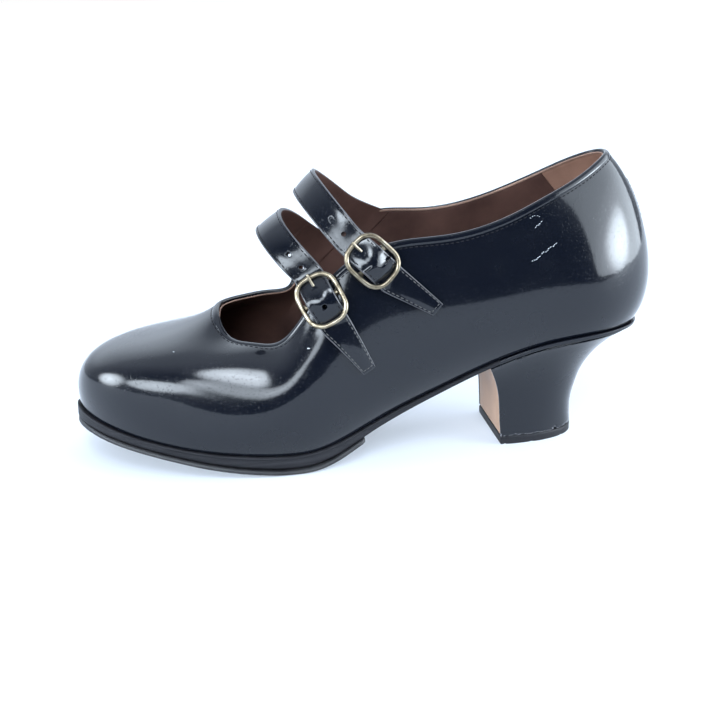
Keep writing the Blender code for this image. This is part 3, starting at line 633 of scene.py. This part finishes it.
# %% Read a strap's stations from its solid
def strap_frames(name):
    bm = quads_of(name)
    found = regions(bm, 45)
    faces, sides = found[:2], found[2:4]
    axis = Vector((0, 0.003, 0.040))

    def turn(co):
        return -Vector((co.y - axis.y, co.z - axis.z)).angle_signed(Vector((1, 0)))

    def line(a, b):
        verts = {v for f in a for v in f.verts} & {v for f in b for v in f.verts}
        return [v.co.copy() for v in sorted(verts, key=lambda v: turn(v.co))]

    lines = [[line(face, side) for side in sides] for face in faces]
    spread = [sum((co - axis).length for co in pair[0]) for pair in lines]
    outer, inner = (lines[0], lines[1]) if spread[0] > spread[1] else (lines[1], lines[0])
    counts = {len(run) for pair in lines for run in pair}
    print(name, "stations", counts)
    frames = []
    for i in range(min(counts)):
        a, b, c, d = outer[0][i], outer[1][i], inner[0][i], inner[1][i]
        wide = ((b + d) - (a + c)) / 4
        thick = ((a + b) - (c + d)) / 4
        frames.append((((a + b) + (c + d)) / 4, wide, thick))
    bm.free()
    out = []
    for i, (middle, wide, thick) in enumerate(frames):
        before = frames[max(i - 1, 0)][0]
        after = frames[min(i + 1, len(frames) - 1)][0]
        out.append(frame_at(middle, (after - before).normalized(), wide, thick))
    return out


strap_stations = {side: strap_frames("strap_" + side) for side in ("front", "back")}

# %% [markdown]
# On the inner side a strap grows out of the quarter. Its root lies flat on the lining, thins to
# nothing there, and its back edge spreads in a web that runs out along the topline.

# %% Roots that grow out of the quarter
ROOT_SINK = 1.25 * MM
ROOT_REACH = 14 * MM
WEB_REACH = 22 * MM
WEBS = {"front": 3.0 * MM, "back": 5.5 * MM}


def ease(share):
    share = min(max(share, 0.0), 1.0)
    return share * share * (3 - 2 * share)


def rooted(frames, web):
    rim = [p for p in rim_places if p.y < 0]
    clear = [min((m.translation - p).length for p in rim) for m in frames[:8]]
    at_rim = clear.index(min(clear))
    out = []
    for i, m in enumerate(frames):
        run = (m.translation - frames[at_rim].translation).length * (1 if i > at_rim else -1)
        free = ease(run / ROOT_REACH)
        spread = web * (1 - ease((run + 10 * MM) / WEB_REACH))
        wide, thick = m.col[1].xyz, m.col[2].xyz
        back = wide.normalized() * (-1 if wide.x > 0 else 1)
        middle = m.translation + thick.normalized() * ROOT_SINK * (1 - free) + back * spread / 2
        out.append(frame_at(middle, m.col[0].xyz, wide * (1 + spread / 2 / wide.length),
                            thick * (0.38 + 0.62 * free)))
    return out, at_rim


strap_runs = {}
for side, stations in strap_stations.items():
    strap_runs[side] = rooted(stations, WEBS[side])
    print("strap", side, "meets the topline at station", strap_runs[side][1])

# %% [markdown]
# The profile is in shares of the half width and the half thickness, because the frames carry the
# sizes. Its top is a little crowned, and dips where the stitches pull leather and lining together.
# Over the bar of its buckle the strap swells into a round dome. The holes are cut last.

# %% Straps with rounded edges, domes and punched holes
strap_profile = [(-1.0, 0.0), (-0.985, 0.62), (-0.93, 0.90), (-0.79, 0.70), (-0.45, 1.0), (0.0, 1.06),
                 (0.45, 1.0), (0.79, 0.70), (0.93, 0.90), (0.985, 0.62), (1.0, 0.0), (0.985, -0.7),
                 (0.93, -0.95), (0.0, -1.0), (-0.93, -0.95), (-0.985, -0.7)]
DOME_RADIUS = 9.0 * MM
DOME_HEIGHT = 2.0 * MM


STRAP_LOOKS = [2, 2, 0, 0, 0, 0, 0, 0, 2, 2, 2, 1, 1, 1, 1, 2]


def hole_places(name, frames):
    """Middle and outward direction of each hole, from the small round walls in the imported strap."""
    bm = quads_of(name)
    places = []
    for group in regions(bm, 45)[4:]:
        middle = sum((f.calc_center_median() for f in group), Vector()) / len(group)
        facing = sum((f.normal for f in group), Vector()) / len(group)
        if facing.length < 0.3:
            near = min(frames, key=lambda m: (m.translation - middle).length)
            places.append((middle, near.col[2].xyz.normalized()))
    bm.free()
    return places


def add_punch(bm, place, out, top, bottom, length):
    """A round punch, wider at the outer face than at the lining, as an awl leaves a hole."""
    turn = out.to_track_quat("Z", "Y").to_matrix().to_4x4()
    bmesh.ops.create_cone(bm, cap_ends=True, segments=24, radius1=bottom, radius2=top,
                          depth=length, matrix=Matrix.Translation(place) @ turn)


def buckle_middle(side):
    low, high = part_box("buckle_frame_" + side)
    return (Vector(low) + Vector(high)) / 2


def eased_over_bar(frames, middle):
    """The stations near the bar, evened out so that the strap runs over it in one round bend."""
    places = [m.translation.copy() for m in frames]
    for turn in range(24):
        before = [p.copy() for p in places]
        for i in range(1, len(places) - 1):
            if (before[i] - middle).length < 1.3 * DOME_RADIUS:
                places[i] = (before[i - 1] + before[i] * 2 + before[i + 1]) / 4
    out = []
    for i, m in enumerate(frames):
        along = (places[min(i + 1, len(places) - 1)] - places[max(i - 1, 0)]).normalized()
        wide = m.col[1].xyz
        thick = along.cross(wide).normalized() * m.col[2].xyz.length
        thick *= 1 if thick.dot(m.col[2].xyz) > 0 else -1
        out.append(frame_at(places[i], along, wide, thick))
    return out


def swell(bm, middle, out):
    """Lift the strap's outer face into a dome over the buckle's bar."""
    for vert in bm.verts:
        way = vert.co - middle
        flat = way - out * way.dot(out)
        share = flat.length / DOME_RADIUS
        if share < 1 and way.dot(out) > -3 * MM:
            vert.co += out * DOME_HEIGHT * (1 - share * share) ** 1.5


for side, (frames, at_rim) in strap_runs.items():
    frames[:] = eased_over_bar(frames, buckle_middle(side))
    band = sweep(strap_profile, frames, looks=STRAP_LOOKS)
    middle = buckle_middle(side)
    near = min(frames, key=lambda m: (m.translation - middle).length)
    swell(band, middle, near.col[2].xyz.normalized())
    layer = band.edges.layers.float.new("crease_edge")
    for edge in band.edges:
        if any(len(face.verts) > 4 for face in edge.link_faces):
            edge[layer] = 0.9
    strap = piece("dressed_strap_" + side, band, (patent, lining, cut_edge), ("strap_" + side,))
    subdivide(strap, 2)
    punch_bm = bmesh.new()
    for place, out in hole_places("strap_" + side, frames):
        add_punch(punch_bm, place, out, 1.2 * MM, 0.3 * MM, 3.6 * MM)
    punches = bpy.data.objects.new("punches", bpy.data.meshes.new("punches"))
    punch_bm.to_mesh(punches.data)
    punch_bm.free()
    bpy.context.scene.collection.objects.link(punches)
    holes = strap.modifiers.new("holes", "BOOLEAN")
    holes.object = punches
    holes.solver = "FAST"
    finished = shown_mesh(strap)
    strap.modifiers.clear()
    strap.data = finished
    bpy.data.objects.remove(punches)
    print(strap.name, len(finished.polygons), "faces after punching")

# %% [markdown]
# Two rows of stitches run along each strap, 1.3 mm inside its edges, and turn across the end of the
# tail. On the tail the same black thread is painted paler, a painted highlight for the light it catches there,
# so it reads as a pale dotted line.
# Inside, a stitched seam shows where the strap's lining meets the quarter's.

# %% Strap stitches
EDGE_SHARE = 0.79

for side, (frames, at_rim) in strap_runs.items():
    black_row, painted_highlight_row = bmesh.new(), bmesh.new()
    strap_tree = surface_of(bpy.data.objects["dressed_strap_" + side])
    middle = buckle_middle(side)
    ends = []
    for sign in (-1, 1):
        path = smooth_path([m @ Vector((0, sign * EDGE_SHARE, 0.9)) for m in frames[at_rim + 1:-1]], 6, False)
        stop = np.array(frames[-1] @ Vector((0, sign * EDGE_SHARE, 0.9)))
        stop = path[-1] + (stop - path[-1]) * 0.6
        ends.append(stop)
        guides = every(np.vstack((path, stop[None])), 2.05 * MM, False)
        tail = min(range(len(guides)), key=lambda i: (guides[i][0] - middle).length) + 5
        lay_stitches(black_row, on_surface(guides[:tail], strap_tree, 0.03 * MM), 1.6 * MM, 0.5 * MM)
        # past the buckle the stitches take the paler thread, a painted highlight
        lay_stitches(painted_highlight_row, on_surface(guides[tail:], strap_tree, 0.0), 1.5 * MM, 0.42 * MM)
    across = every(np.array(ends), 1.5 * MM, False)
    lay_stitches(painted_highlight_row, on_surface(across, strap_tree, 0.0), 1.2 * MM, 0.42 * MM)
    piece("strap_stitches_" + side, black_row, (thread,))
    piece("tail_stitches_" + side, painted_highlight_row, (painted_highlight_thread,))
    seam = frames[at_rim + 2]
    seam_path = smooth_path([seam @ Vector((0, u, -1.0)) for u in (-0.96, -0.5, 0.0, 0.5, 0.96)], 4, False)
    out = -seam.col[2].xyz.normalized()
    seam_frames = [frame_at(Vector(p), seam.col[1].xyz.normalized(), seam.col[0].xyz.normalized() * MM, out * MM)
                   for p in seam_path]
    ridge = [(-0.5, -0.15), (-0.35, 0.10), (0.0, 0.16), (0.3, 0.10), (0.45, -0.15)]
    subdivide(piece("strap_lining_seam_" + side, sweep(ridge, seam_frames), (lining,)), 1)

# %% [markdown]
# ## Buckles
# The frame is a bent wire, the bar crosses it, and the prong is curled round the bar. The packed
# solids hold their exact places, so they are copied and smoothed by a Subdivision Surface, which
# turns the eight-sided wire into a round one.

# %% Frames, prongs and keeper loops
for side in ("front", "back"):
    for part, look, slot in (("buckle_frame_", brass, "metal"), ("buckle_prong_", brass, "metal"),
                             ("buckle_loop_", patent, "patent")):
        bm = quads_of(part + side)
        layer = bm.edges.layers.float.new("crease_edge")
        for edge in bm.edges:
            if sharp(edge, 65):
                edge[layer] = 0.35
        made = piece("dressed_" + part + side, bm, (look,), (part + side,))
        subdivide(made, 2)

# %% [markdown]
# ## Sole and heel
# The sole's edges are cut square and then burnished, so a small bevel is enough to catch light. The
# solids keep their places; only rounded copies with finer edges are shown.

# %% Soles, heel block and top piece
def crisp(name, new_name, looks, crease, levels=2, grow=0.0, lift=0.0):
    """A copy of a node flowed by subdivision, with its sharp edges held by a crease. It may grow
    sideways and be lifted on top by a little, to close a joint that the solids leave open."""
    bm = quads_of(name)
    for vert in bm.verts:
        flat = Vector((vert.normal.x, vert.normal.y, 0))
        vert.co += flat * grow + Vector((0, 0, lift if vert.normal.z > 0.2 else 0))
    layer = bm.edges.layers.float.new("crease_edge")
    for edge in bm.edges:
        if sharp(edge, 40):
            edge[layer] = crease
    made = piece(new_name, bm, looks, (name,))
    subdivide(made, levels)
    return made


outsole = crisp("outsole", "dressed_outsole", (waxed, heel_cover), 0.8)
heel_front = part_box("heel")[1][0]
for face in outsole.data.polygons:
    if face.center.x < heel_front - 2 * MM and face.normal.z > -0.7:
        face.material_index = 1
half_sole = crisp("half_sole", "dressed_half_sole", (rubber,), 0.75, grow=0.9 * MM, lift=0.3 * MM)
heel = crisp("heel", "dressed_heel", (heel_cover,), 0.85)
heel_tree = surface_of(heel)
low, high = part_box("heel")
worn_edge = bmesh.new()
guides = []
for step in range(26):
    x = low[0] + (high[0] - low[0]) * (0.34 + 0.62 * step / 26) + chance.uniform(-0.6, 0.6) * MM
    guides.append((Vector((x, high[1] + 4 * MM, low[2] + chance.uniform(0.9, 2.1) * MM)),
                   Vector((1, 0, chance.uniform(-0.8, 0.8))).normalized()))
lay_stitches(worn_edge, on_surface(guides, heel_tree, -0.04 * MM), 0.9 * MM, 0.22 * MM)
piece("worn_heel_edge", worn_edge, (worn_cover,))
tip = crisp("heel_tip", "dressed_heel_tip", (waxed,), 0.85)
breast = crisp("heel_breast", "dressed_breast", (breast_tan,), 0.95)
insole = crisp("insole", "dressed_insole", (sock,), 0.8)

# %% [markdown]
# ## Floor and light
# The shoe stands on white paper in a room that is dark behind the camera. Black patent shows its
# surroundings: the paper gives the grey band along the lower side, the dark room the black above it,
# and the windows the white patches on toe and counter. The floor is a large sheet that ends in front
# of the shoe, where the band ends in the photograph.

# %% Floor
FLOOR_FRONT = 0.45

floor_bm = bmesh.new()
bmesh.ops.create_grid(floor_bm, x_segments=2, y_segments=2, size=1.0)
bmesh.ops.scale(floor_bm, vec=(1.6, 1.3, 1.0), verts=floor_bm.verts)
bmesh.ops.translate(floor_bm, vec=(0.0, FLOOR_FRONT - 1.3, 0.0), verts=floor_bm.verts)
floor_mesh = bpy.data.meshes.new("paper_floor")
floor_bm.to_mesh(floor_mesh)
floor_bm.free()
paper = new_look("white_paper", (0.46, 0.48, 0.52), 0.8)
paper.node_tree.nodes["Principled BSDF"].inputs["Emission Color"].default_value = (0.78, 0.88, 1.0, 1)
paper.node_tree.nodes["Principled BSDF"].inputs["Emission Strength"].default_value = 0.42
floor_mesh.materials.append(paper)
floor = bpy.data.objects.new("paper_floor", floor_mesh)
bpy.context.scene.collection.objects.link(floor)

# %% [markdown]
# The world is white to the camera, as the photograph's background is. To the shoe it is a room with a
# pale ceiling and a pale wall behind the shoe, and nothing but darkness behind the camera.

# %% World
world = bpy.data.worlds.new("room")
bpy.context.scene.world = world
world.use_nodes = True
sky = world.node_tree
background = sky.nodes["Background"]
direction = sky.nodes.new("ShaderNodeTexCoord")
lean = sky.nodes.new("ShaderNodeVectorMath")
lean.operation = "DOT_PRODUCT"
lean.inputs[1].default_value = (0.0, -0.6, 0.8)
room = sky.nodes.new("ShaderNodeValToRGB")
dark, pale = room.color_ramp.elements
dark.position = 0.12
dark.color = (0.006, 0.009, 0.016, 1)
pale.position = 0.72
pale.color = (0.76, 0.86, 1.0, 1)
sky.links.new(direction.outputs["Generated"], lean.inputs[0])
sky.links.new(lean.outputs["Value"], room.inputs["Fac"])
background.inputs["Strength"].default_value = 1.3
sky.links.new(room.outputs["Color"], background.inputs["Color"])
white = sky.nodes.new("ShaderNodeBackground")
white.inputs["Color"].default_value = (1.0, 1.0, 1.0, 1)
ray = sky.nodes.new("ShaderNodeLightPath")
choose = sky.nodes.new("ShaderNodeMixShader")
sky.links.new(ray.outputs["Is Camera Ray"], choose.inputs["Fac"])
sky.links.new(background.outputs["Background"], choose.inputs[1])
sky.links.new(white.outputs["Background"], choose.inputs[2])
sky.links.new(choose.outputs["Shader"], sky.nodes["World Output"].inputs["Surface"])

# %% [markdown]
# Soft boxes stand for the room's windows and lamp. Their places come from the reflections: at each
# bright patch on the shoe, the line from the camera bounces off the leather towards the light that
# made it. A box is given as a direction round the shoe and above the floor, in degrees, with its
# width and height seen from the shoe. Its brightness, beside white paper's 1, is that of its core,
# and it fades from there, as a curtained window does, so the patches on the leather have no hard rim.

# %% Lights
def soft_box(name, round_deg, up_deg, wide_deg, high_deg, brightness, away=3.5, core=(0.5, 0.5),
             fade=((0.0, 1.0), (0.2, 0.75), (0.5, 0.0))):
    turn, up = radians(round_deg), radians(up_deg)
    place = Vector((sin(turn) * cos(up), cos(turn) * cos(up), sin(up))) * away + Vector((0, 0, 0.05))
    data = bpy.data.lights.new(name, "AREA")
    data.shape = "RECTANGLE"
    data.size = 2 * away * tan(radians(wide_deg / 2))
    data.size_y = 2 * away * tan(radians(high_deg / 2))
    data.energy = brightness * pi * data.size * data.size_y
    data.color = (0.80, 0.90, 1.0)
    data.use_nodes = True
    glow = data.node_tree.nodes["Emission"]
    across_box = data.node_tree.nodes.new("ShaderNodeNewGeometry").outputs["Parametric"]
    from_core = data.node_tree.nodes.new("ShaderNodeVectorMath")
    from_core.operation = "DISTANCE"
    from_core.inputs[1].default_value = (*core, 0)
    data.node_tree.links.new(across_box, from_core.inputs[0])
    curve = data.node_tree.nodes.new("ShaderNodeValToRGB")
    curve.color_ramp.interpolation = "EASE"
    for stop in range(len(fade) - 2):
        curve.color_ramp.elements.new(0.5)
    for element, (at, level) in zip(curve.color_ramp.elements, fade):
        element.position = at
        element.color = (level, level, level, 1)
    data.node_tree.links.new(from_core.outputs["Value"], curve.inputs["Fac"])
    data.node_tree.links.new(curve.outputs["Color"], glow.inputs["Strength"])
    lamp = bpy.data.objects.new(name, data)
    bpy.context.scene.collection.objects.link(lamp)
    lamp.location = place
    lamp.rotation_euler = (Vector((0, 0, 0.05)) - place).to_track_quat("-Z", "Y").to_euler()
    lamp.visible_camera = False
    print(name, "size", round(data.size, 2), "by", round(data.size_y, 2), "m,", round(data.energy, 1), "W")


soft_box("left_window", 44, 13, 56, 23, 19.0, fade=((0.0, 1.0), (0.3, 0.8), (0.5, 0.0)))
soft_box("corner_window", 10, 46, 20, 42, 26.0)
soft_box("window_sill", 18, 23, 24, 22, 13.0)
soft_box("toe_window", 86, 11, 36, 30, 24.0)
soft_box("right_wall", -76, 24, 68, 54, 32.0, core=(0.5, 0.0),
         fade=((0.0, 0.34), (0.3, 0.24), (0.6, 0.15), (1.0, 0.09)))
soft_box("right_window", -69, 7, 34, 24, 21.0)
soft_box("back_wall_glow", 180, 40, 120, 60, 0.9)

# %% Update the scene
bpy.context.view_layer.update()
